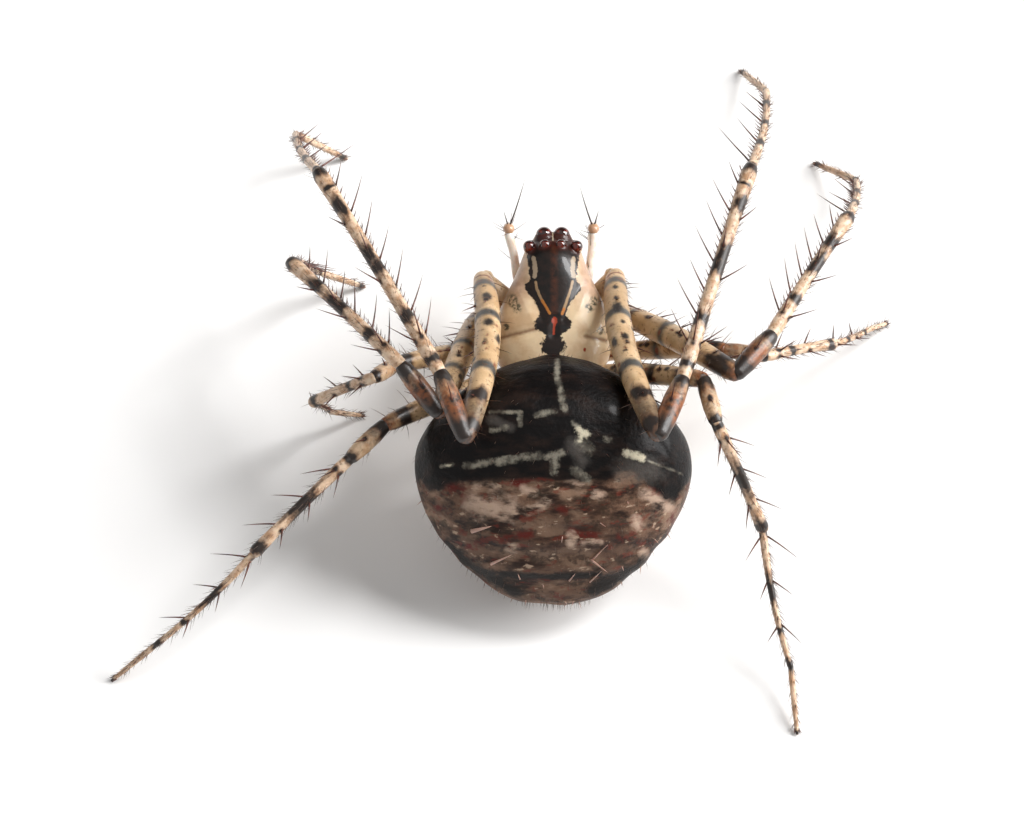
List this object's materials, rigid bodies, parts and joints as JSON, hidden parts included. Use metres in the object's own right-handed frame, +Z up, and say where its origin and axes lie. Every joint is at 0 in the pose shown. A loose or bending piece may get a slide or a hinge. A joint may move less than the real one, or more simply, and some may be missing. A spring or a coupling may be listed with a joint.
{
  "type": "pirate spider model",
  "caption": "Still, life-size model of a pirate spider (Mimetus), standing on banded legs with rows of long spines, under a round marbled abdomen.",
  "frame": {"origin": "middle of the model's bounding box, on the floor under it", "axes": "+Z up; the head faces -Y, so the spider's right side is at -X"},
  "size_m": [0.0122, 0.0116, 0.0039],
  "materials": {
    "eye_lens": "wet-looking dark red lens",
    "palp_cuticle": "thin cream cuticle",
    "leg_cuticle": "cream cuticle with dark brown bands and reddish spines",
    "carapace_cuticle": "shiny tan and brown-black cuticle",
    "sternum_cuticle": "cream cuticle",
    "mouth_cuticle": "cream to brown cuticle",
    "abdomen_skin": "soft skin, black in front and marbled grey-brown behind",
    "waist_cuticle": "pale brown cuticle"
  },
  "bodies": {
    "root": {"abdomen": "abdomen_skin", "carapace": "carapace_cuticle", "chelicera_left": "mouth_cuticle", "chelicera_right": "mouth_cuticle", "eye_front_middle_left": "eye_lens", "eye_front_middle_right": "eye_lens", "eye_front_side_left": "eye_lens", "eye_front_side_right": "eye_lens", "eye_rear_middle_left": "eye_lens", "eye_rear_middle_right": "eye_lens", "eye_rear_side_left": "eye_lens", "eye_rear_side_right": "eye_lens", "leg_1_left_coxa": "leg_cuticle", "leg_1_left_femur": "leg_cuticle", "leg_1_left_metatarsus": "leg_cuticle", "leg_1_left_tarsus": "leg_cuticle", "leg_1_left_tibia": "leg_cuticle", "leg_1_right_coxa": "leg_cuticle", "leg_1_right_femur": "leg_cuticle", "leg_1_right_metatarsus": "leg_cuticle", "leg_1_right_tarsus": "leg_cuticle", "leg_1_right_tibia": "leg_cuticle", "leg_2_left_coxa": "leg_cuticle", "leg_2_left_femur": "leg_cuticle", "leg_2_left_metatarsus": "leg_cuticle", "leg_2_left_tarsus": "leg_cuticle", "leg_2_left_tibia": "leg_cuticle", "leg_2_right_coxa": "leg_cuticle", "leg_2_right_femur": "leg_cuticle", "leg_2_right_metatarsus": "leg_cuticle", "leg_2_right_tarsus": "leg_cuticle", "leg_2_right_tibia": "leg_cuticle", "leg_3_left_coxa": "leg_cuticle", "leg_3_left_femur": "leg_cuticle", "leg_3_left_metatarsus": "leg_cuticle", "leg_3_left_tarsus": "leg_cuticle", "leg_3_left_tibia": "leg_cuticle", "leg_3_right_coxa": "leg_cuticle", "leg_3_right_femur": "leg_cuticle", "leg_3_right_metatarsus": "leg_cuticle", "leg_3_right_tarsus": "leg_cuticle", "leg_3_right_tibia": "leg_cuticle", "leg_4_left_coxa": "leg_cuticle", "leg_4_left_femur": "leg_cuticle", "leg_4_left_metatarsus": "leg_cuticle", "leg_4_left_tarsus": "leg_cuticle", "leg_4_left_tibia": "leg_cuticle", "leg_4_right_coxa": "leg_cuticle", "leg_4_right_femur": "leg_cuticle", "leg_4_right_metatarsus": "leg_cuticle", "leg_4_right_tarsus": "leg_cuticle", "leg_4_right_tibia": "leg_cuticle", "mouthparts": "mouth_cuticle", "palp_femur_left": "palp_cuticle", "palp_femur_right": "palp_cuticle", "palp_tip_left": "palp_cuticle", "palp_tip_right": "palp_cuticle", "pedicel": "waist_cuticle", "spinnerets": "waist_cuticle", "sternum": "sternum_cuticle"}
  },
  "joints": []
}
